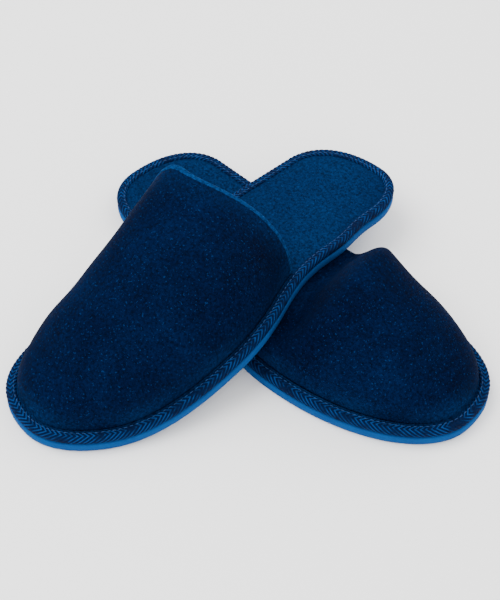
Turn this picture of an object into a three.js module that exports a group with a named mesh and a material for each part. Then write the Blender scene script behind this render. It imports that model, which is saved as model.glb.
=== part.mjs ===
// A pair of closed-toe spa slippers lying crossed: the left one flat on the floor, the right one over it.
// Millimetres, +Z up, floor at z = 0, origin at the middle of the pair's footprint.
// Each slipper is shaped in its own straight frame first: x to the outer side, y from heel to toe,
// z up from the underside. Its place in the pair is applied to every point afterwards.
import * as THREE from 'three';

// Outline of the sole. Widths are measured from the straight line between the heel and toe tips.
const LENGTH = 285;
const HEEL_WIDEST_AT = 34.5;
const HEEL_FULLNESS = 0.65;
const WAIST_FROM_HEEL = 73.6;
const OUTER_SIDE = { heel: 49.2, waist: 49.3, ball: 48, ballFromHeel: 200, toeFullness: 0.93 };
const INNER_SIDE = { heel: 29.3, waist: 34, ball: 60.2, ballFromHeel: 174.2, toeFullness: 0.54 };

// Layers of the sole, from the floor up
const LAYER_GAP = 0.3;
const OUTSOLE_THICKNESS = 6.2;
const TAPE_THICKNESS = 0.6;
const BOARD_THICKNESS = 0.8;
const FOOTBED_FOAM_THICKNESS = 1.2;
const FOOTBED_COVER_THICKNESS = 0.6;
const INSOLE_INSET = 1.5;

// Edge binding, a tape folded round the edge of the insole, and its seam
const TAPE_OVERLAP = 6;
const TAPE_CORNER = 1.2;
const THREAD_WIDTH = 0.6;
const THREAD_HEIGHT = 0.4;
const THREAD_FROM_EDGE = 4.5;

// Vamp, the padded upper over the front of the foot
const VAMP_GAP_TO_TAPE = 1;
const VAMP_COVER_THICKNESS = 0.8;
const VAMP_FOAM_THICKNESS = 1.2;
const VAMP_LAYER_GAP = 0.7;
const VAMP_LINING_THICKNESS = 0.6;
const TOE_ROOF_HEIGHT = 26;
const INSTEP_ROOF_HEIGHT = 64;
const TOE_NOSE_REACH = 46;
const SIDE_FULLNESS = 0.63;
const VAMP_LEAN = 38;
const OPENING_FROM_TOE = 150;
const OPENING_OUTER_SWEEP = -15;
const OPENING_INNER_SWEEP = 28;
const SIDE_SWEEP_POWER = 1.8;
const HEM_GAP = 1.8;
const HEM_WIDTH = 3.6;
const HEM_CORNER = 0.8;

// How the right slipper lies over the left one
const RIGHT_TOE_Y = -168.5;
const LIFT_HEIGHT = 20;
const LIFT_STARTS_AT = 30;
const LIFT_ENDS_AT = 150;
const LIFT_LEAN = THREE.MathUtils.degToRad(-6.8);
const LEFT_TOE_X = 167.3;
const LEFT_TOE_Y = 28.4;
const LEFT_HEADING = THREE.MathUtils.degToRad(4.8);
const PRESS_CLEARANCE = 1.5;
const PRESS_MARGIN = 3;
const SWELL_SLOPE = 1.8;
const SWELL_ROUNDING = 10;
const PRESS_BLEND = 18;

// Fineness of the meshes
const SOLE_ROWS = Math.round(LENGTH / 10);
const RING_STATIONS = Math.round(LENGTH / 10);
const VAMP_COLUMNS = 14;
const PLAIN_VAMP_ROWS = 14;
const PRESSED_VAMP_ROWS = 24;
const TOE_ROW_CROWDING = 0.35;
const TIP_GAP = 0.02;

// Heights that follow from the layers
const TAPE_BOTTOM = OUTSOLE_THICKNESS + LAYER_GAP;
const BOARD_BOTTOM = TAPE_BOTTOM + TAPE_THICKNESS + LAYER_GAP;
const FOAM_BOTTOM = BOARD_BOTTOM + BOARD_THICKNESS + LAYER_GAP;
const COVER_BOTTOM = FOAM_BOTTOM + FOOTBED_FOAM_THICKNESS + LAYER_GAP;
const FOOTBED_TOP = COVER_BOTTOM + FOOTBED_COVER_THICKNESS;
const TAPE_TOP = FOOTBED_TOP + LAYER_GAP + TAPE_THICKNESS;
const VAMP_BASE = FOOTBED_TOP + LAYER_GAP;
const VAMP_INSET = TAPE_OVERLAP + VAMP_GAP_TO_TAPE;
const FOAM_DEPTH = VAMP_COVER_THICKNESS + VAMP_LAYER_GAP;
const LINING_DEPTH = FOAM_DEPTH + VAMP_FOAM_THICKNESS + VAMP_LAYER_GAP;
const VAMP_DEPTH = LINING_DEPTH + VAMP_LINING_THICKNESS;

// One side of the outline as a path from the heel tip to the toe tip, with its distances out as +x.
function sidePath(side) {
  const circle = 0.5523;
  const waistPull = (WAIST_FROM_HEEL - HEEL_WIDEST_AT) * 0.45;
  const ballPull = (side.ballFromHeel - WAIST_FROM_HEEL) * 0.45;
  const toeSpan = LENGTH - side.ballFromHeel;
  const at = (x, y) => new THREE.Vector2(x, y);
  const path = new THREE.CurvePath();
  path.add(new THREE.CubicBezierCurve(
    at(0, 0),
    at(side.heel * HEEL_FULLNESS, 0),
    at(side.heel, HEEL_WIDEST_AT * (1 - circle)),
    at(side.heel, HEEL_WIDEST_AT),
  ));
  path.add(new THREE.CubicBezierCurve(
    at(side.heel, HEEL_WIDEST_AT),
    at(side.heel, HEEL_WIDEST_AT + waistPull),
    at(side.waist, WAIST_FROM_HEEL - waistPull),
    at(side.waist, WAIST_FROM_HEEL),
  ));
  path.add(new THREE.CubicBezierCurve(
    at(side.waist, WAIST_FROM_HEEL),
    at(side.waist, WAIST_FROM_HEEL + ballPull),
    at(side.ball, side.ballFromHeel - ballPull),
    at(side.ball, side.ballFromHeel),
  ));
  path.add(new THREE.CubicBezierCurve(
    at(side.ball, side.ballFromHeel),
    at(side.ball, side.ballFromHeel + toeSpan * circle),
    at(side.ball * side.toeFullness, LENGTH),
    at(0, LENGTH),
  ));
  return path;
}

// Evenly spaced points along one side, each with its outward normal.
function sideSamples(side, count) {
  const points = sidePath(side).getSpacedPoints(count);
  return points.map((point, i) => {
    const before = points[Math.max(i - 1, 0)];
    const after = points[Math.min(i + 1, count)];
    const along = after.clone().sub(before).normalize();
    const isTip = i === 0 || i === count;
    const normal = isTip ? new THREE.Vector2(0, i === 0 ? -1 : 1) : new THREE.Vector2(along.y, -along.x);
    return { point, normal };
  });
}

const EDGE_SAMPLES = 240;
const EDGES = {
  outer: sideSamples(OUTER_SIDE, EDGE_SAMPLES),
  inner: sideSamples(INNER_SIDE, EDGE_SAMPLES),
};
const insetEdges = new Map();

// One side's edge moved inwards by `inset`, as points that climb from heel to toe.
function insetEdge(side, inset) {
  const key = `${side} ${inset}`;
  if (!insetEdges.has(key)) {
    const moved = EDGES[side].map(({ point, normal }) => point.clone().addScaledVector(normal, -inset));
    insetEdges.set(key, moved);
  }
  return insetEdges.get(key);
}

// Distance from the heel-to-toe line out to one side's edge at y, the edge moved inwards by `inset`.
function sideWidth(side, y, inset) {
  const edge = insetEdge(side, inset);
  if (y <= edge[0].y || y >= edge[edge.length - 1].y) {
    return 0;
  }
  const next = edge.findIndex((point) => point.y > y);
  const low = edge[next - 1];
  const high = edge[next];
  const share = (y - low.y) / (high.y - low.y);
  return low.x + (high.x - low.x) * share;
}

// Where a share of the width lies at y: -1 is the inner edge and 1 is the outer edge.
function acrossAt(y, inset, share) {
  const outer = sideWidth('outer', y, inset);
  const inner = sideWidth('inner', y, inset);
  return (outer - inner) / 2 + (share * (outer + inner)) / 2;
}

function smoothStep(t) {
  const held = THREE.MathUtils.clamp(t, 0, 1);
  return held * held * (3 - 2 * held);
}

function smoothMin(a, b, blend) {
  const overlap = Math.max(blend - Math.abs(a - b), 0) / blend;
  return Math.min(a, b) - (overlap * overlap * blend) / 4;
}

// Places of the two slippers: from a slipper's own frame to the pair's frame.
function placeRight(point) {
  const fromToe = LENGTH - point.y;
  const t = THREE.MathUtils.clamp((fromToe - LIFT_STARTS_AT) / (LIFT_ENDS_AT - LIFT_STARTS_AT), 0, 1);
  const slope = (LIFT_HEIGHT * 6 * t * (1 - t)) / (LIFT_ENDS_AT - LIFT_STARTS_AT);
  const angle = Math.atan(slope);
  const lean = point.x * Math.sin(LIFT_LEAN * smoothStep(t));
  return new THREE.Vector3(
    -point.x,
    RIGHT_TOE_Y + fromToe - Math.sin(angle) * point.z,
    LIFT_HEIGHT * smoothStep(t) + lean + Math.cos(angle) * point.z,
  );
}

function placeLeft(point) {
  const fromToe = LENGTH - point.y;
  const cos = Math.cos(LEFT_HEADING);
  const sin = Math.sin(LEFT_HEADING);
  return new THREE.Vector3(
    LEFT_TOE_X - fromToe * cos - point.x * sin,
    LEFT_TOE_Y - fromToe * sin + point.x * cos,
    point.z,
  );
}

// The highest that the left slipper's vamp can stand at a place, because the right one presses on it.
// Beside the pressing sole the vamp swells back to its own height.
function pressedHeight(point) {
  const placed = placeLeft(point);
  const fromToe = placed.y - RIGHT_TOE_Y;
  const y = LENGTH - fromToe;
  const x = -placed.x;
  const underside = placeRight(new THREE.Vector3(x, y, 0)).z;
  const outside = Math.max(x - sideWidth('outer', y, 0), -x - sideWidth('inner', y, 0));
  const beyond = Math.max(outside - PRESS_MARGIN, 0);
  const swell = SWELL_SLOPE * (Math.hypot(beyond, SWELL_ROUNDING) - SWELL_ROUNDING);
  return underside - PRESS_CLEARANCE + swell;
}

// Height of the vamp's roof above its base, on the centre line.
function roofHeight(fromToe) {
  const share = THREE.MathUtils.clamp(fromToe / OPENING_FROM_TOE, 0, 1);
  return TOE_ROOF_HEIGHT + (INSTEP_ROOF_HEIGHT - TOE_ROOF_HEIGHT) * share;
}

// A point on the vamp's outer face. `side` runs from 0 at the outer foot to 1 at the inner foot and
// `along` from 0 at the toe to 1 at the opening.
function facePoint(side, along, pressed) {
  const angle = Math.PI * side;
  const across = Math.cos(angle);
  const sweep = across > 0 ? OPENING_OUTER_SWEEP : OPENING_INNER_SWEEP;
  const opening = OPENING_FROM_TOE + sweep * Math.abs(across) ** SIDE_SWEEP_POWER;
  const spread = along ** 2 / (along + TOE_ROW_CROWDING * (1 - along));
  const fromTip = TIP_GAP + (opening - VAMP_INSET - TIP_GAP) * spread;
  const fromToe = VAMP_INSET + fromTip;
  const y = LENGTH - fromToe;
  const nose = Math.sqrt(1 - (1 - Math.min(fromTip / TOE_NOSE_REACH, 1)) ** 2);
  const height = roofHeight(fromToe) * nose * Math.abs(Math.sin(angle)) ** SIDE_FULLNESS;
  const point = new THREE.Vector3(acrossAt(y, VAMP_INSET, across), y, VAMP_BASE + height);
  if (pressed) {
    const blend = THREE.MathUtils.clamp(point.z - VAMP_BASE, 0.1, PRESS_BLEND);
    point.z = smoothMin(point.z, pressedHeight(point), blend);
  }
  const heightShare = (point.z - VAMP_BASE) / INSTEP_ROOF_HEIGHT;
  point.x += VAMP_LEAN * heightShare ** 2 * (fromTip / OPENING_FROM_TOE);
  return point;
}

function vampRows(pressed) {
  return pressed ? PRESSED_VAMP_ROWS : PLAIN_VAMP_ROWS;
}

// The outward direction of that face. It lies level along the feet and at the toe tip, so that
// every layer stands on the same base.
function faceNormal(side, along, pressed) {
  if (along === 0) {
    return new THREE.Vector3(0, 1, 0);
  }
  const sideStep = 0.5 / VAMP_COLUMNS;
  const alongStep = 0.5 / vampRows(pressed);
  const at = (u, v) => facePoint(THREE.MathUtils.clamp(u, 0, 1), THREE.MathUtils.clamp(v, 0, 1), pressed);
  const across = at(side + sideStep, along).sub(at(side - sideStep, along));
  const back = at(side, along + alongStep).sub(at(side, along - alongStep));
  const normal = across.cross(back);
  if (side === 0 || side === 1) {
    normal.z = 0;
  }
  return normal.normalize();
}

// The vamp's point at `depth` below its outer face.
function vampPoint(side, along, depth, pressed) {
  return facePoint(side, along, pressed).addScaledVector(faceNormal(side, along, pressed), -depth);
}

// A closed solid through a row of closed sections with equal numbers of points. An open row is
// capped at both ends; a looped one joins its last section to its first. The diagonals of the second
// half mirror those of the first, so that a layer's two faces are cut into triangles alike.
function loft(sections, looped) {
  const size = sections[0].length;
  const indices = [];
  const quad = (a, b, c, d) => indices.push(a, b, c, a, c, d);
  const mirroredQuad = (a, b, c, d) => indices.push(a, b, d, b, c, d);
  const joints = looped ? sections.length : sections.length - 1;
  for (let row = 0; row < joints; row += 1) {
    const here = row * size;
    const there = ((row + 1) % sections.length) * size;
    for (let i = 0; i < size; i += 1) {
      const j = (i + 1) % size;
      const split = i < size / 2 ? quad : mirroredQuad;
      split(here + i, here + j, there + j, there + i);
    }
  }
  if (!looped) {
    const last = (sections.length - 1) * size;
    for (let i = 0; i < size / 2 - 1; i += 1) {
      quad(i + 1, i, size - 1 - i, size - 2 - i);
      quad(last + i, last + i + 1, last + size - 2 - i, last + size - 1 - i);
    }
  }
  const geometry = new THREE.BufferGeometry().setFromPoints(sections.flat());
  geometry.setIndex(signedVolume(sections.flat(), indices) < 0 ? indices.reverse() : indices);
  geometry.computeVertexNormals();
  return geometry;
}

function signedVolume(points, indices) {
  let sum = 0;
  for (let i = 0; i < indices.length; i += 3) {
    const [a, b, c] = [points[indices[i]], points[indices[i + 1]], points[indices[i + 2]]];
    sum += a.dot(b.clone().cross(c));
  }
  return sum / 6;
}

// Even shares of a half turn, closer together near both ends of the sole.
function soleRows(inset) {
  const start = 0.05;
  return Array.from({ length: SOLE_ROWS + 1 }, (_, row) => {
    const turn = start + ((Math.PI - 2 * start) * row) / SOLE_ROWS;
    return inset + ((LENGTH - 2 * inset) * (1 - Math.cos(turn))) / 2;
  });
}

// A flat layer of the sole between two heights.
function layer(inset, bottom, top, columns, place) {
  const sections = soleRows(inset).map((y) => {
    const shares = Array.from({ length: columns + 1 }, (_, i) => (2 * i) / columns - 1);
    const xs = shares.map((share) => acrossAt(y, inset, share));
    const lower = xs.map((x) => place(new THREE.Vector3(x, y, bottom)));
    const upper = xs.map((x) => place(new THREE.Vector3(x, y, top)));
    return [...lower, ...upper.reverse()];
  });
  return loft(sections, false);
}

// A strip that follows the whole edge. `profile` lists its section as [distance in from the edge, z].
function edgeStrip(profile, place) {
  const outer = sideSamples(OUTER_SIDE, RING_STATIONS);
  const inner = sideSamples(INNER_SIDE, RING_STATIONS).map(({ point, normal }) => ({
    point: new THREE.Vector2(-point.x, point.y),
    normal: new THREE.Vector2(-normal.x, normal.y),
  }));
  const stations = [...outer, ...inner.reverse().slice(1, -1)];
  const sections = stations.map(({ point, normal }) => profile.map(([inset, z]) => {
    const moved = point.clone().addScaledVector(normal, -inset);
    return place(new THREE.Vector3(moved.x, moved.y, z));
  }));
  return loft(sections, true);
}

function bindingProfile() {
  const outerTop = TAPE_TOP;
  const innerTop = TAPE_TOP - TAPE_THICKNESS;
  const innerBottom = TAPE_BOTTOM + TAPE_THICKNESS;
  return [
    [TAPE_OVERLAP, outerTop],
    [TAPE_CORNER, outerTop],
    [0, outerTop - TAPE_CORNER],
    [0, TAPE_BOTTOM + TAPE_CORNER],
    [TAPE_CORNER, TAPE_BOTTOM],
    [TAPE_OVERLAP, TAPE_BOTTOM],
    [TAPE_OVERLAP, innerBottom],
    [TAPE_CORNER, innerBottom],
    [TAPE_THICKNESS, TAPE_BOTTOM + TAPE_CORNER],
    [TAPE_THICKNESS, outerTop - TAPE_CORNER],
    [TAPE_CORNER, innerTop],
    [TAPE_OVERLAP, innerTop],
  ];
}

function threadProfile() {
  const bottom = TAPE_TOP + LAYER_GAP;
  return [
    [THREAD_FROM_EDGE - THREAD_WIDTH / 2, bottom],
    [THREAD_FROM_EDGE, bottom + THREAD_HEIGHT],
    [THREAD_FROM_EDGE + THREAD_WIDTH / 2, bottom],
  ];
}

// One layer of the vamp, from `outer` to `inner` below its outer face.
function vampLayer(outer, inner, pressed, place) {
  const rows = vampRows(pressed);
  const sections = Array.from({ length: rows + 1 }, (_, row) => {
    const along = row / rows;
    const sides = Array.from({ length: VAMP_COLUMNS + 1 }, (_, i) => i / VAMP_COLUMNS);
    const outside = sides.map((side) => place(vampPoint(side, along, outer, pressed)));
    const inside = sides.map((side) => place(vampPoint(side, along, inner, pressed)));
    return [...outside, ...inside.reverse()];
  });
  return loft(sections, false);
}

// The way out of the vamp at its opening: square to the edge and level at the feet.
function hemDirection(side, across, pressed) {
  const step = 0.5 / VAMP_COLUMNS;
  const next = facePoint(Math.min(side + step, 1), 1, pressed);
  const edge = next.sub(facePoint(Math.max(side - step, 0), 1, pressed));
  const back = edge.cross(across);
  if (side === 0 || side === 1) {
    back.z = 0;
  }
  return back.y > 0 ? back.negate().normalize() : back.normalize();
}

// The folded hem along the vamp's opening, standing just clear of the cut edge of its layers.
function hem(pressed, place) {
  const sections = Array.from({ length: VAMP_COLUMNS + 1 }, (_, i) => {
    const side = i / VAMP_COLUMNS;
    const outer = vampPoint(side, 1, 0, pressed);
    const inner = vampPoint(side, 1, VAMP_DEPTH, pressed);
    const middle = outer.clone().add(inner).multiplyScalar(0.5);
    const across = outer.clone().sub(inner).normalize();
    const back = hemDirection(side, across, pressed);
    const half = VAMP_DEPTH / 2;
    const corner = (out, behind) => place(
      middle.clone().addScaledVector(across, out).addScaledVector(back, behind),
    );
    return [
      corner(half, HEM_GAP),
      corner(half, HEM_WIDTH - HEM_CORNER),
      corner(half - HEM_CORNER, HEM_WIDTH),
      corner(HEM_CORNER - half, HEM_WIDTH),
      corner(-half, HEM_WIDTH - HEM_CORNER),
      corner(-half, HEM_GAP),
    ];
  });
  return loft(sections, false);
}

const COLOURS = {
  outsole: new THREE.MeshStandardMaterial({ color: 0x005092, roughness: 0.75, metalness: 0 }),
  board: new THREE.MeshStandardMaterial({ color: 0xb9b3a6, roughness: 0.9, metalness: 0 }),
  foam: new THREE.MeshStandardMaterial({ color: 0xc9ccd0, roughness: 0.95, metalness: 0 }),
  footbed: new THREE.MeshStandardMaterial({ color: 0x00305c, roughness: 1, metalness: 0 }),
  velour: new THREE.MeshStandardMaterial({ color: 0x001c42, roughness: 1, metalness: 0 }),
  lining: new THREE.MeshStandardMaterial({ color: 0x0a2a50, roughness: 0.95, metalness: 0 }),
  tape: new THREE.MeshStandardMaterial({ color: 0x001a3a, roughness: 0.85, metalness: 0 }),
  thread: new THREE.MeshStandardMaterial({ color: 0x0a2248, roughness: 0.8, metalness: 0 }),
};

// All the pieces of one slipper, placed in the pair.
function slipper(prefix, place, pressed) {
  const group = new THREE.Group();
  const add = (name, geometry, material) => {
    const mesh = new THREE.Mesh(geometry, material);
    mesh.name = `${prefix}_${name}`;
    group.add(mesh);
  };
  const sheet = (bottom, thickness) => layer(INSOLE_INSET, bottom, bottom + thickness, 2, place);
  add('outsole', layer(0, 0, OUTSOLE_THICKNESS, 2, place), COLOURS.outsole);
  add('insole_board', sheet(BOARD_BOTTOM, BOARD_THICKNESS), COLOURS.board);
  add('footbed_foam', sheet(FOAM_BOTTOM, FOOTBED_FOAM_THICKNESS), COLOURS.foam);
  add('footbed_cover', sheet(COVER_BOTTOM, FOOTBED_COVER_THICKNESS), COLOURS.footbed);
  add('edge_binding', edgeStrip(bindingProfile(), place), COLOURS.tape);
  add('binding_thread', edgeStrip(threadProfile(), place), COLOURS.thread);
  add('vamp_cover', vampLayer(0, VAMP_COVER_THICKNESS, pressed, place), COLOURS.velour);
  add('vamp_foam', vampLayer(FOAM_DEPTH, FOAM_DEPTH + VAMP_FOAM_THICKNESS, pressed, place), COLOURS.foam);
  add('vamp_lining', vampLayer(LINING_DEPTH, VAMP_DEPTH, pressed, place), COLOURS.lining);
  add('instep_hem', hem(pressed, place), COLOURS.footbed);
  return group;
}

const pair = new THREE.Group();
pair.add(slipper('left', placeLeft, true));
pair.add(slipper('right', placeRight, false));

const middle = new THREE.Box3().setFromObject(pair).getCenter(new THREE.Vector3());
pair.position.set(-middle.x, -middle.y, 0);

const object = new THREE.Group();
object.add(pair);
object.updateMatrixWorld(true);

export default object;
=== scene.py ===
"""A pair of spa slippers lying crossed, the right over the left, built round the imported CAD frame."""
import math

import bmesh
import bpy
import numpy as np
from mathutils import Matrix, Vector


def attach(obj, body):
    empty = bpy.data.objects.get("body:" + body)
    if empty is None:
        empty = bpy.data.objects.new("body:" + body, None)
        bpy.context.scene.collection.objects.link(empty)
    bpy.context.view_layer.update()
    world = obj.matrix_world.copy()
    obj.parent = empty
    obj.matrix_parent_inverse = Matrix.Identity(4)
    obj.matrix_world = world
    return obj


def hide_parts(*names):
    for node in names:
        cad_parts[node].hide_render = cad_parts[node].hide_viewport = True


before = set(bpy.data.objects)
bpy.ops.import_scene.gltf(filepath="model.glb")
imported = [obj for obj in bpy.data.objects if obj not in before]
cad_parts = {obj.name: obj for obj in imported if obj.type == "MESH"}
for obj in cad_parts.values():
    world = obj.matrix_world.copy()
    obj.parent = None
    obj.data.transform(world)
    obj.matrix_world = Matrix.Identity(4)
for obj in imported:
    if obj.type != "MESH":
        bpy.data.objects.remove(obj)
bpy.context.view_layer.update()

# Sizes in millimetres, the same as the CAD part's
LENGTH = 285.0
HEEL_WIDEST_AT = 34.5
HEEL_FULLNESS = 0.65
WAIST_FROM_HEEL = 73.6
OUTER_SIDE = {"heel": 49.2, "waist": 49.3, "ball": 48.0, "from_heel": 200.0, "fullness": 0.93}
INNER_SIDE = {"heel": 29.3, "waist": 34.0, "ball": 60.2, "from_heel": 174.2, "fullness": 0.54}
OUTSOLE_TOP = 6.2
TAPE_BOTTOM = 6.5
FOOTBED_TOP = 10.6
FOOTBED_BOTTOM = 8.5
TAPE_TOP = 11.5
TAPE_OVERLAP = 6.0
VAMP_BASE = 10.9
VAMP_INSET = 7.0
VAMP_DEPTH = 4.0
TOE_ROOF = 26.0
INSTEP_ROOF = 64.0
NOSE_REACH = 46.0
SIDE_FULLNESS = 0.63
VAMP_LEAN = 38.0
OPENING = 150.0
OUTER_SWEEP = -15.0
INNER_SWEEP = 28.0
SWEEP_POWER = 1.8
RIGHT_TOE_Y = -168.5
LIFT_HEIGHT = 20.0
LIFT_STARTS_AT = 30.0
LIFT_ENDS_AT = 150.0
LIFT_LEAN = math.radians(-6.8)
LEFT_TOE = (167.3, 28.4)
LEFT_HEADING = math.radians(4.8)
PRESS_CLEARANCE = 1.5
PRESS_MARGIN = 3.0
SWELL_SLOPE = 1.8
SWELL_ROUNDING = 10.0
PRESS_BLEND = 18.0
PAIR_SHIFT = np.array([-25.1947, 26.0, 0.0])  # centres the pair on the origin, as the CAD part does

# How the vamp's mesh is spread, as in the CAD part
TIP_GAP = 0.02
TOE_ROW_CROWDING = 0.35

# The view, in degrees, metres and millimetres of lens
CAMERA_AZIMUTH = 49.0
CAMERA_ELEVATION = 49.2
CAMERA_DISTANCE = 1.095
CAMERA_AIM = (-0.029, 0.026, 0.0)
CAMERA_LENS = 105.2
CAMERA_SHIFT = (0.018, -0.0225)
FLOOR_HALF = 6.0
FLOOR_DROP = 0.0004


# Outline of the sole
def bezier(points, count):
    p = np.array(points, float)
    t = np.linspace(0, 1, count)[:, None]
    return ((1 - t) ** 3 * p[0] + 3 * (1 - t) ** 2 * t * p[1]
            + 3 * (1 - t) * t ** 2 * p[2] + t ** 3 * p[3])


def side_samples(side, count):
    """Evenly spaced points along one side, heel to toe, and their outward normals."""
    circle = 0.5523
    waist_pull = (WAIST_FROM_HEEL - HEEL_WIDEST_AT) * 0.45
    ball_pull = (side["from_heel"] - WAIST_FROM_HEEL) * 0.45
    heel, waist, ball, ball_y = side["heel"], side["waist"], side["ball"], side["from_heel"]
    pieces = [
        [(0, 0), (heel * HEEL_FULLNESS, 0), (heel, HEEL_WIDEST_AT * (1 - circle)), (heel, HEEL_WIDEST_AT)],
        [(heel, HEEL_WIDEST_AT), (heel, HEEL_WIDEST_AT + waist_pull),
         (waist, WAIST_FROM_HEEL - waist_pull), (waist, WAIST_FROM_HEEL)],
        [(waist, WAIST_FROM_HEEL), (waist, WAIST_FROM_HEEL + ball_pull),
         (ball, ball_y - ball_pull), (ball, ball_y)],
        [(ball, ball_y), (ball, ball_y + (LENGTH - ball_y) * circle),
         (ball * side["fullness"], LENGTH), (0, LENGTH)],
    ]
    path = np.vstack([bezier(p, 400)[:-1] for p in pieces] + [[[0, LENGTH]]])
    run = np.concatenate([[0], np.cumsum(np.linalg.norm(np.diff(path, axis=0), axis=1))])
    at = np.linspace(0, run[-1], count)
    points = np.stack([np.interp(at, run, path[:, 0]), np.interp(at, run, path[:, 1])], 1)
    along = np.gradient(points, axis=0)
    along /= np.linalg.norm(along, axis=1)[:, None]
    normals = np.stack([along[:, 1], -along[:, 0]], 1)
    normals[0] = (0, -1)
    normals[-1] = (0, 1)
    return points, normals


EDGES = {"outer": side_samples(OUTER_SIDE, 500), "inner": side_samples(INNER_SIDE, 500)}


def side_width(side, y, inset):
    points, normals = EDGES[side]
    moved = points - normals * inset
    order = np.argsort(moved[:, 1])
    return np.interp(y, moved[order, 1], moved[order, 0], left=0, right=0)


def ring_stations(half):
    """Points and outward normals once round the sole, from the heel along the outer side."""
    outer_points, outer_normals = side_samples(OUTER_SIDE, half + 1)
    inner_points, inner_normals = side_samples(INNER_SIDE, half + 1)
    flip = np.array([-1, 1])
    points = np.vstack([outer_points, (inner_points * flip)[::-1][1:-1]])
    normals = np.vstack([outer_normals, (inner_normals * flip)[::-1][1:-1]])
    return points, normals


# Places of the two slippers
def smooth_step(t):
    held = np.clip(t, 0, 1)
    return held * held * (3 - 2 * held)


def place_right(p):
    from_toe = LENGTH - p[..., 1]
    t = np.clip((from_toe - LIFT_STARTS_AT) / (LIFT_ENDS_AT - LIFT_STARTS_AT), 0, 1)
    angle = np.arctan(LIFT_HEIGHT * 6 * t * (1 - t) / (LIFT_ENDS_AT - LIFT_STARTS_AT))
    lean = p[..., 0] * np.sin(LIFT_LEAN * smooth_step(t))
    return np.stack([-p[..., 0], RIGHT_TOE_Y + from_toe - np.sin(angle) * p[..., 2],
                     LIFT_HEIGHT * smooth_step(t) + lean + np.cos(angle) * p[..., 2]], -1)


def place_left(p):
    from_toe = LENGTH - p[..., 1]
    c, s = math.cos(LEFT_HEADING), math.sin(LEFT_HEADING)
    return np.stack([LEFT_TOE[0] - from_toe * c - p[..., 0] * s,
                     LEFT_TOE[1] - from_toe * s + p[..., 0] * c, p[..., 2]], -1)


PLACES = {"left": place_left, "right": place_right}


def smooth_min(a, b, blend):
    overlap = np.maximum(blend - np.abs(a - b), 0) / blend
    return np.minimum(a, b) - overlap * overlap * blend / 4


def pressed_height(p):
    placed = place_left(p)
    from_toe = placed[..., 1] - RIGHT_TOE_Y
    y = LENGTH - from_toe
    x = -placed[..., 0]
    underside = place_right(np.stack([x, y, np.zeros_like(x)], -1))[..., 2]
    outside = np.maximum(x - side_width("outer", y, 0), -x - side_width("inner", y, 0))
    beyond = np.maximum(outside - PRESS_MARGIN, 0)
    return underside - PRESS_CLEARANCE + SWELL_SLOPE * (np.hypot(beyond, SWELL_ROUNDING) - SWELL_ROUNDING)


def vamp_face(side, along, pressed):
    """Points of the vamp's outer face: side 0 outer foot to 1 inner foot, along 0 toe to 1 opening."""
    angle = np.pi * side
    across = np.cos(angle)
    sweep = np.where(across > 0, OUTER_SWEEP, INNER_SWEEP)
    opening = OPENING + sweep * np.abs(across) ** SWEEP_POWER
    spread = along ** 2 / (along + TOE_ROW_CROWDING * (1 - along))
    from_tip = TIP_GAP + (opening - VAMP_INSET - TIP_GAP) * spread
    from_toe = VAMP_INSET + from_tip
    y = LENGTH - from_toe
    nose = np.sqrt(1 - (1 - np.minimum(from_tip / NOSE_REACH, 1)) ** 2)
    roof = TOE_ROOF + (INSTEP_ROOF - TOE_ROOF) * np.clip(from_toe / OPENING, 0, 1)
    height = roof * nose * np.abs(np.sin(angle)) ** SIDE_FULLNESS
    outer, inner = side_width("outer", y, VAMP_INSET), side_width("inner", y, VAMP_INSET)
    x = (outer - inner) / 2 + across * (outer + inner) / 2
    z = VAMP_BASE + height
    if pressed:
        blend = np.clip(z - VAMP_BASE, 0.1, PRESS_BLEND)
        z = smooth_min(z, pressed_height(np.stack([x, y, z], -1)), blend)
    x = x + VAMP_LEAN * ((z - VAMP_BASE) / INSTEP_ROOF) ** 2 * (from_tip / OPENING)
    return np.stack([x, y, z], -1)


# Mesh helpers
def make_object(name, verts, faces, materials, face_slots=None, attributes=None):
    """A smooth-shaded object from points in millimetres in the pair's frame."""
    mesh = bpy.data.meshes.new(name)
    metres = (np.asarray(verts) + PAIR_SHIFT) / 1000
    mesh.from_pydata([tuple(v) for v in metres.tolist()], [], [tuple(f) for f in faces])
    for material in materials:
        mesh.materials.append(material)
    if face_slots is not None:
        mesh.polygons.foreach_set("material_index", face_slots)
    for key, values in (attributes or {}).items():
        layer = mesh.attributes.new(key, "FLOAT", "POINT")
        layer.data.foreach_set("value", np.asarray(values, np.float32))
    bm = bmesh.new()
    bm.from_mesh(mesh)
    bmesh.ops.remove_doubles(bm, verts=bm.verts, dist=2e-6)
    bmesh.ops.recalc_face_normals(bm, faces=bm.faces)
    bm.to_mesh(mesh)
    bm.free()
    mesh.polygons.foreach_set("use_smooth", [True] * len(mesh.polygons))
    obj = bpy.data.objects.new(name, mesh)
    bpy.context.scene.collection.objects.link(obj)
    return obj


def strip_faces(rows, size, looped_rows, looped_ring):
    """Quads between consecutive rows of equal size."""
    faces = []
    for r in range(rows if looped_rows else rows - 1):
        a, b = r * size, ((r + 1) % rows) * size
        for i in range(size if looped_ring else size - 1):
            j = (i + 1) % size
            faces.append((a + i, a + j, b + j, b + i))
    return faces


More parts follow.
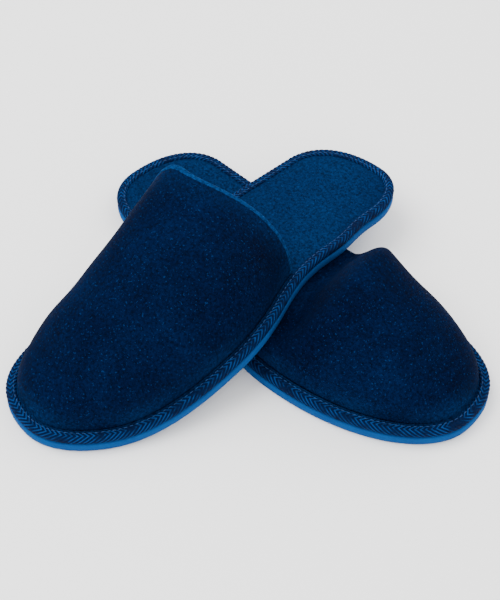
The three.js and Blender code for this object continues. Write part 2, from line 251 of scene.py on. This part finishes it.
def slab(name, profile, spine_top, spine_bottom, half, place, materials, relief=None):
    """A flat closed body: rings at (inset, z) round the edge, closed over a spine above and below."""
    points, normals = ring_stations(half)
    count = len(points)
    spine_y = np.clip(points[:, 1], 52, LENGTH - 62)
    spine_x = (side_width("outer", spine_y, 0) - side_width("inner", spine_y, 0)) / 2
    spine = np.stack([spine_x, spine_y], 1)

    def inner_rings(base, z, spine_z):
        shares = (0.12, 0.25, 0.4, 0.55, 0.7, 0.83, 0.93, 0.985)
        return [(base + (spine - base) * s, z + (spine_z - z) * math.sin(s * math.pi / 2)) for s in shares]

    edge = [(points - normals * inset, z) for inset, z in profile]
    below = inner_rings(edge[0][0], edge[0][1], spine_bottom)[::-1]
    above = inner_rings(edge[-1][0], edge[-1][1], spine_top)
    rings = below + edge + above
    verts = np.vstack([np.column_stack([xy, np.full(count, z)]) for xy, z in rings])
    if relief is not None:
        verts = relief(verts, len(below) * count, (len(below) + len(edge)) * count)
    faces = strip_faces(len(rings), count, False, True)
    last = (len(rings) - 1) * count
    for i in range(half):
        j, k = (count - i) % count, count - i - 1
        for base, flip in ((0, False), (last, True)):
            face = [base + i, base + i + 1, base + k, base + j]
            face = list(dict.fromkeys(face))
            faces.append(face[::-1] if flip else face)
    return make_object(name, place(verts), faces, materials)


# Materials
class Nodes:
    """A short way to write one node material."""

    def __init__(self, name):
        self.material = bpy.data.materials.new(name)
        self.material.use_nodes = True
        self.tree = self.material.node_tree
        self.shader = self.tree.nodes["Principled BSDF"]
        self.position = self.add("ShaderNodeTexCoord").outputs["Object"]

    def add(self, kind, **inputs):
        node = self.tree.nodes.new(kind)
        for key, value in inputs.items():
            self.put(node.inputs[key], value)
        return node

    def put(self, socket, value):
        if isinstance(value, bpy.types.NodeSocket):
            self.tree.links.new(value, socket)
        else:
            socket.default_value = value

    def noise(self, scale, detail=3.0, rough=0.6, vector=None):
        node = self.add("ShaderNodeTexNoise", Scale=scale, Detail=detail, Roughness=rough)
        self.put(node.inputs["Vector"], vector or self.position)
        return node.outputs["Fac"]

    def ramp(self, value, low, high, start=0.35, end=0.65):
        node = self.add("ShaderNodeValToRGB", Fac=value)
        first, last = node.color_ramp.elements[0], node.color_ramp.elements[1]
        first.position, last.position = start, end
        first.color, last.color = (*low, 1), (*high, 1)
        return node.outputs["Color"]

    def mix(self, factor, a, b, blend="MIX"):
        node = self.tree.nodes.new("ShaderNodeMix")
        node.data_type = "RGBA"
        node.blend_type = blend
        self.put(node.inputs[0], factor)
        self.put(node.inputs[6], a)
        self.put(node.inputs[7], b)
        return node.outputs[2]

    def math(self, kind, a, b=0.0):
        node = self.tree.nodes.new("ShaderNodeMath")
        node.operation = kind
        self.put(node.inputs[0], a)
        self.put(node.inputs[1], b)
        return node.outputs[0]

    def attribute(self, name):
        node = self.tree.nodes.new("ShaderNodeAttribute")
        node.attribute_name = name
        return node.outputs["Fac"]

    def bump(self, height, strength, distance):
        node = self.add("ShaderNodeBump", Strength=strength, Distance=distance, Height=height)
        self.put(self.shader.inputs["Normal"], node.outputs["Normal"])

    def finish(self, colour, roughness, specular, sheen=0.0, tint=(1, 1, 1)):
        self.put(self.shader.inputs["Base Color"], colour)
        self.put(self.shader.inputs["Roughness"], roughness)
        self.shader.inputs["Sheen Weight"].default_value = sheen
        self.shader.inputs["Sheen Tint"].default_value = (*tint, 1)
        self.shader.inputs["Sheen Roughness"].default_value = 0.5
        self.shader.inputs["Specular IOR Level"].default_value = specular
        return self.material


def velour(name, dark, light, fuzz):
    """Short pile: broad shading where it is brushed, lighter fuzz in the share a mesh attribute gives (in
    places a painted highlight), and fine fibre specks.
    """
    n = Nodes(name)
    brushed = n.ramp(n.noise(22, 4, 0.65), dark, light, 0.34, 0.72)
    # Lighter fuzz colour in the share the mesh attribute gives; along the opening's fold it is a painted
    # highlight.
    pale_fuzz = n.mix(n.attribute("pale_fuzz"), brushed, (*fuzz, 1))
    grain = n.noise(560, 5, 0.8)
    shaded = n.mix(1.0, pale_fuzz, n.ramp(grain, (0.3, 0.3, 0.3), (1, 1, 1), 0.38, 0.6), "MULTIPLY")
    specks = n.math("MULTIPLY", n.math("GREATER_THAN", n.noise(800, 1, 0.5), 0.69), 0.4)
    colour = n.mix(specks, shaded, (fuzz[0] * 1.5, fuzz[1] * 1.5, fuzz[2] * 1.5, 1))
    pile = n.math("ADD", n.math("MULTIPLY", grain, 0.6), n.math("MULTIPLY", n.noise(260, 4, 0.7), 0.5))
    n.bump(pile, 0.55, 0.0009)
    rough = n.math("ADD", n.math("MULTIPLY", grain, 0.15), 0.82)
    return n.finish(colour, rough, 0.03)


def twill_tape():
    """Dark ribbed tape with a painted highlight, in patches, on the crests of its diagonal ribs in two
    slants.
    """
    n = Nodes("binding_tape")
    rib = n.attribute("rib")
    # Noise that breaks the painted highlight into patches and varies the roughness.
    highlight_and_roughness_noise = n.noise(140, 3, 0.6)
    highlight_patches = n.ramp(highlight_and_roughness_noise, (0, 0, 0), (1, 1, 1), 0.36, 0.6)
    # Painted highlight: the rib crests coloured brighter where the patches allow.
    painted_highlight = n.math("MULTIPLY", n.math("GREATER_THAN", rib, 0.62), highlight_patches)
    base = n.ramp(n.noise(700, 3, 0.7), (0.0, 0.0022, 0.014), (0.0, 0.006, 0.034), 0.3, 0.7)
    colour = n.mix(painted_highlight, base, (0.0, 0.03, 0.125, 1))
    n.bump(n.math("ADD", n.noise(1200, 3, 0.7), rib), 0.5, 0.0004)
    return n.finish(colour, n.math("ADD", n.math("MULTIPLY", highlight_and_roughness_noise, 0.2), 0.7), 0.06)


def outsole_foam():
    """Matt closed-cell foam with a fine pitted skin, its colour a little lighter away from the centres of the
    pits.
    """
    n = Nodes("outsole_foam")
    cells = n.add("ShaderNodeTexVoronoi", Scale=900.0)
    n.put(cells.inputs["Vector"], n.position)
    pits = cells.outputs["Distance"]
    colour = n.ramp(n.noise(60, 4, 0.6), (0.0, 0.036, 0.155), (0.0, 0.05, 0.195), 0.3, 0.7)
    colour = n.mix(n.math("MULTIPLY", pits, 0.5), colour, (0.0, 0.07, 0.24, 1))
    n.bump(n.math("ADD", pits, n.noise(220, 3, 0.6)), 0.25, 0.0003)
    return n.finish(colour, n.math("ADD", n.math("MULTIPLY", n.noise(300), 0.2), 0.68), 0.08)


def plain_textile(name, low, high, scale, sheen):
    n = Nodes(name)
    n.bump(n.noise(scale, 4, 0.7), 0.4, 0.0005)
    rough = n.math("ADD", n.math("MULTIPLY", n.noise(scale), 0.2), 0.7)
    return n.finish(n.ramp(n.noise(scale * 0.4), low, high), rough, 0.2, sheen, (0.5, 0.7, 1))


# Pieces
def undulation(p, size):
    """Slow unevenness of padded cloth, in millimetres."""
    x, y = p[..., 0], p[..., 1]
    return size * (np.sin(x / 9.1 + y / 23.0) * np.sin(y / 13.7 - x / 31.0)
                   + 0.6 * np.sin(x / 17.3 - y / 8.9 + 1.3) + 0.5 * np.sin(y / 5.3 + x / 12.1))


def grid_normals(points):
    across = np.gradient(points, axis=1)
    back = np.gradient(points, axis=0)
    normal = np.cross(across, back)
    length = np.linalg.norm(normal, axis=-1, keepdims=True)
    normal = normal / np.maximum(length, 1e-9)
    for column in (0, -1):
        normal[:, column, 2] = 0
        size = np.linalg.norm(normal[:, column], axis=-1, keepdims=True)
        normal[:, column] /= np.maximum(size, 1e-9)
    normal[0] = (0, 1, 0)
    return normal


def vamp_grid(pressed, rows, columns):
    u = np.linspace(0, 1, columns + 1)
    side = u - 0.11 * np.sin(2 * np.pi * u)
    along = np.linspace(0, 1, rows + 1)
    sides, alongs = np.meshgrid(side, along)
    face = vamp_face(sides, alongs, pressed)
    return sides, alongs, face, grid_normals(face)


def vamp(prefix, materials, rows=120, columns=110):
    """The padded upper: velour outside, lining inside, its layers closed round the edge."""
    pressed = prefix == "left"
    _, alongs, face, normal = vamp_grid(pressed, rows, columns)
    up = np.clip((face[..., 2] - VAMP_BASE) / 8, 0, 1)
    ends = np.clip((1 - alongs) / 0.08, 0, 1) * np.clip(alongs / 0.1, 0, 1)
    outside = face + normal * (undulation(face, 0.33) * up * ends)[..., None]
    inside = face - normal * VAMP_DEPTH
    size = columns + 1
    count = (rows + 1) * size
    verts = np.vstack([outside.reshape(-1, 3), inside.reshape(-1, 3)])
    outer_faces = strip_faces(rows + 1, size, False, False)
    faces = list(outer_faces) + [tuple(count + v for v in f[::-1]) for f in outer_faces]
    rim = ([r * size for r in range(rows + 1)] + [rows * size + i for i in range(1, size)]
           + [r * size + size - 1 for r in range(rows - 1, -1, -1)] + [i for i in range(size - 2, 0, -1)])
    for a, b in zip(rim, rim[1:] + rim[:1]):
        faces.append((a, b, count + b, count + a))
    slots = [0] * len(outer_faces) + [1] * len(outer_faces) + [0] * len(rim)
    # Lighter fuzz low down on the vamp's sides, mottled, and a painted highlight over the vamp's last stretch
    # before the opening's fold.
    low = np.clip(1 - (face[..., 2] - VAMP_BASE) / 17, 0, 1) ** 1.4
    edge = np.clip((alongs - 0.93) / 0.07, 0, 1)
    mottled = 0.62 + 0.38 * np.sin(face[..., 0] / 11 + 2 * np.sin(face[..., 1] / 19))
    pale_fuzz = np.clip(low * mottled * 0.85 + 0.25 * edge, 0, 1).reshape(-1)
    obj = make_object(f"{prefix}_vamp_pad", PLACES[prefix](verts), faces, materials, slots,
                      {"pale_fuzz": np.concatenate([pale_fuzz, pale_fuzz])})
    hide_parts(f"{prefix}_vamp_cover", f"{prefix}_vamp_foam", f"{prefix}_vamp_lining")
    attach(obj, f"{prefix}_slipper")


def hem(prefix, material, stations=150, around=14):
    """The folded edge of the opening, a soft flat roll over the vamp's cut layers."""
    pressed = prefix == "left"
    _, _, face, normal = vamp_grid(pressed, 60, stations)
    outer = face[-1]
    inner = outer - normal[-1] * VAMP_DEPTH
    middle = (outer + inner) / 2
    across = normal[-1]
    edge = np.gradient(outer, axis=0)
    back = np.cross(edge, across)
    back[[0, -1], 2] = 0
    back *= np.where(back[:, 1:2] > 0, -1, 1)
    back /= np.linalg.norm(back, axis=1)[:, None]
    turn = np.linspace(0, 2 * np.pi, around, endpoint=False)
    rings = []
    for m, a, b in zip(middle, across, back):
        c, s = np.cos(turn)[:, None], np.sin(turn)[:, None]
        rings.append(m + a * c * (VAMP_DEPTH / 2 + 0.35) + b * (0.9 + s * 2.5))
    verts = np.vstack(rings)
    faces = strip_faces(len(rings), around, False, True)
    last = (len(rings) - 1) * around
    faces.append(tuple(range(around))[::-1])
    faces.append(tuple(last + i for i in range(around)))
    # The hem's large share of lighter fuzz, on its lighter velour, is a painted highlight along the fold of
    # the opening.
    obj = make_object(f"{prefix}_hem_roll", PLACES[prefix](verts), faces, [material], None,
                      {"pale_fuzz": np.full(len(verts), 0.55)})
    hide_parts(f"{prefix}_instep_hem")
    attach(obj, f"{prefix}_slipper")


def footbed(prefix, material):
    """The padded footbed: softly crowned, falling into the seam beside the tape."""
    profile = [(1.6, FOOTBED_BOTTOM), (1.5, FOOTBED_TOP - 0.8), (4.5, FOOTBED_TOP - 0.3),
               (6.2, FOOTBED_TOP - 0.1), (7.4, FOOTBED_TOP + 0.5), (9.5, FOOTBED_TOP + 1.1),
               (13, FOOTBED_TOP + 1.5)]
    obj = slab(f"{prefix}_footbed_pad", profile, FOOTBED_TOP + 1.7, FOOTBED_BOTTOM, 200,
               PLACES[prefix], [material])
    mesh = obj.data
    layer = mesh.attributes.new("pale_fuzz", "FLOAT", "POINT")
    layer.data.foreach_set("value", np.full(len(mesh.vertices), 0.35, np.float32))
    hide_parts(f"{prefix}_footbed_cover", f"{prefix}_footbed_foam")
    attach(obj, f"{prefix}_slipper")


def binding(prefix, material, half=720, around=34):
    """The tape folded round the insole's edge, its ribs in two slants like a herringbone."""
    points, normals = ring_stations(half)
    run = np.concatenate([[0], np.cumsum(np.linalg.norm(np.diff(points, axis=0), axis=1))])
    top, bottom, corner = TAPE_TOP, TAPE_BOTTOM, 1.7
    profile = [(TAPE_OVERLAP, top - 0.5), (TAPE_OVERLAP - 0.7, top + 0.1),
               (4.2, top + 0.2), (2.8, top + 0.2),
               (corner, top + 0.05), (0.8, top - 0.35), (0.25, top - 0.95), (0.0, top - 1.8),
               (-0.2, (top + bottom) / 2), (0.0, bottom + 1.4), (0.4, bottom + 0.6), (1.2, bottom + 0.1),
               (TAPE_OVERLAP, bottom), (TAPE_OVERLAP, bottom + 0.6)]
    corners = np.array(profile)
    reach = np.concatenate([[0], np.cumsum(np.linalg.norm(np.diff(corners, axis=0), axis=1))])
    path = np.linspace(0, reach[-1], around)
    insets, heights = np.interp(path, reach, corners[:, 0]), np.interp(path, reach, corners[:, 1])
    rings, ribs = [], []
    for k, (inset, z) in enumerate(zip(insets, heights)):
        slant = abs(path[k] - 3.6)
        wave = np.sin(2 * np.pi * (run / 3.3 + slant / 2.3))
        shown = 1.0 if 0.5 < path[k] < reach[10] else 0.0
        outward = 0.17 * wave * shown
        rings.append(np.column_stack([points - normals * (inset - outward)[:, None],
                                      z + outward * (path[k] < reach[6])]))
        ribs.append(wave * 0.5 + 0.5)
    verts = np.stack(rings, 1).reshape(-1, 3)
    faces = strip_faces(len(points), around, True, True)
    obj = make_object(f"{prefix}_bound_edge", PLACES[prefix](verts), faces, [material], None,
                      {"rib": np.stack(ribs, 1).reshape(-1)})
    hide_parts(f"{prefix}_edge_binding")
    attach(obj, f"{prefix}_slipper")


def stitches(prefix, material, pitch=3.6, length=2.5, radius=0.32):
    """A row of short stitches that hold the tape down."""
    points, normals = ring_stations(1000)
    centre = points - normals * 4.6
    run = np.concatenate([[0], np.cumsum(np.linalg.norm(np.diff(centre, axis=0), axis=1))])
    verts, faces = [], []
    sides = 6
    turn = np.linspace(0, 2 * np.pi, sides, endpoint=False)
    swelling = ((0, 0.3, -0.25), (0.2, 0.9, 0), (0.5, 1, 0.1), (0.8, 0.9, 0), (1, 0.3, -0.25))

    def at(distance):
        return np.array([np.interp(distance, run, centre[:, 0]), np.interp(distance, run, centre[:, 1])])

    for start in np.arange(0.5, run[-1] - length, pitch):
        rings = []
        for share, fat, lift in swelling:
            distance = start + share * length
            here, ahead = at(distance), at(distance + 0.5)
            way = (ahead - here) / max(np.linalg.norm(ahead - here), 1e-6)
            beside = np.array([way[1], -way[0]])
            ring = [np.array([*(here + beside * math.cos(t) * radius * fat),
                              TAPE_TOP + 0.25 + lift + math.sin(t) * radius * fat]) for t in turn]
            rings.append(np.array(ring))
        base = len(verts)
        verts.extend(np.vstack(rings))
        faces.extend(tuple(base + v for v in f) for f in strip_faces(5, sides, False, True))
        faces.append(tuple(base + i for i in range(sides))[::-1])
        faces.append(tuple(base + 4 * sides + i for i in range(sides)))
    obj = make_object(f"{prefix}_edge_stitches", PLACES[prefix](np.array(verts)), faces, [material])
    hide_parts(f"{prefix}_binding_thread")
    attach(obj, f"{prefix}_slipper")


def outsole(prefix, material):
    """The cut foam sheet, its edge slightly bowed and its corners softened, ribbed underneath."""
    top = OUTSOLE_TOP
    profile = [(2.2, 0.0), (0.9, 0.12), (0.3, 0.5), (0.02, 1.4), (-0.1, top / 2), (0.0, top - 1.0),
               (0.25, top - 0.35), (0.9, top - 0.05), (2.5, top)]

    def tread(verts, low, high):
        under = verts[:low]
        inside = under[:, 2] < 0.05
        ribs = 0.45 * (np.sin(under[:, 1] / 2.1 + under[:, 0] / 9) > 0.2)
        under[:, 2] += np.where(inside, ribs, 0)
        return verts

    obj = slab(f"{prefix}_foam_sole", profile, top, 0.0, 320, PLACES[prefix], [material], tread)
    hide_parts(f"{prefix}_outsole")
    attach(obj, f"{prefix}_slipper")


# Camera, floor and light
def camera():
    yaw, pitch = math.radians(CAMERA_AZIMUTH), math.radians(CAMERA_ELEVATION)
    back = Vector((math.sin(yaw) * math.cos(pitch), -math.cos(yaw) * math.cos(pitch), math.sin(pitch)))
    data = bpy.data.cameras.new("camera")
    data.lens = CAMERA_LENS
    data.sensor_width = 36.0
    data.sensor_fit = "AUTO"
    data.shift_x, data.shift_y = CAMERA_SHIFT
    data.clip_start = 0.01
    obj = bpy.data.objects.new("camera", data)
    obj.location = Vector(CAMERA_AIM) + back * CAMERA_DISTANCE
    obj.rotation_euler = (-back).to_track_quat("-Z", "Y").to_euler()
    bpy.context.scene.collection.objects.link(obj)
    bpy.context.scene.camera = obj


def area_light(name, place, size, power):
    data = bpy.data.lights.new(name, "AREA")
    data.shape = "DISK"
    data.size = size
    data.energy = power
    obj = bpy.data.objects.new(name, data)
    obj.location = place
    obj.rotation_euler = (-Vector(place)).to_track_quat("-Z", "Y").to_euler()
    bpy.context.scene.collection.objects.link(obj)


def studio():
    n = Nodes("floor")
    floor = bpy.data.meshes.new("floor")
    corners = [(x * FLOOR_HALF, y * FLOOR_HALF, -FLOOR_DROP) for x, y in ((-1, -1), (1, -1), (1, 1), (-1, 1))]
    floor.from_pydata(corners, [], [(0, 1, 2, 3)])
    floor.materials.append(n.finish(n.ramp(n.noise(2), (0.97, 0.97, 0.97), (0.98, 0.98, 0.98)), 0.8, 0.3))
    obj = bpy.data.objects.new("floor", floor)
    bpy.context.scene.collection.objects.link(obj)
    world = bpy.data.worlds.new("studio")
    world.use_nodes = True
    world.node_tree.nodes["Background"].inputs["Color"].default_value = (1, 1, 1, 1)
    world.node_tree.nodes["Background"].inputs["Strength"].default_value = 1.4
    bpy.context.scene.world = world
    area_light("key", (-0.6, -0.5, 1.5), 1.4, 34)
    area_light("fill", (1.1, -0.9, 1.1), 1.6, 14)
    area_light("back", (0.1, 1.3, 1.0), 1.4, 14)


def main():
    camera()
    studio()
    cover = velour("vamp_velour", (0.0, 0.0026, 0.018), (0.0, 0.0068, 0.038), (0.0, 0.021, 0.088))
    bed = velour("footbed_velour", (0.0, 0.0075, 0.038), (0.0, 0.015, 0.062), (0.0, 0.023, 0.092))
    # The hem's velour is lighter than the vamp's: a painted highlight along the fold of the opening.
    edge = velour("hem_velour", (0.0, 0.013, 0.06), (0.0, 0.022, 0.085), (0.0, 0.045, 0.17))
    lining = plain_textile("lining", (0.003, 0.015, 0.05), (0.006, 0.03, 0.09), 600, 0.1)
    tape = twill_tape()
    sole = outsole_foam()
    thread = plain_textile("thread", (0.003, 0.018, 0.07), (0.006, 0.04, 0.14), 1500, 0.1)
    board = plain_textile("insole_board", (0.38, 0.35, 0.3), (0.5, 0.46, 0.4), 500, 0.0)
    for prefix in ("left", "right"):
        outsole(prefix, sole)
        footbed(prefix, bed)
        binding(prefix, tape)
        stitches(prefix, thread)
        vamp(prefix, [cover, lining])
        hem(prefix, edge)
        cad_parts[f"{prefix}_insole_board"].data.materials.clear()
        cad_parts[f"{prefix}_insole_board"].data.materials.append(board)


main()
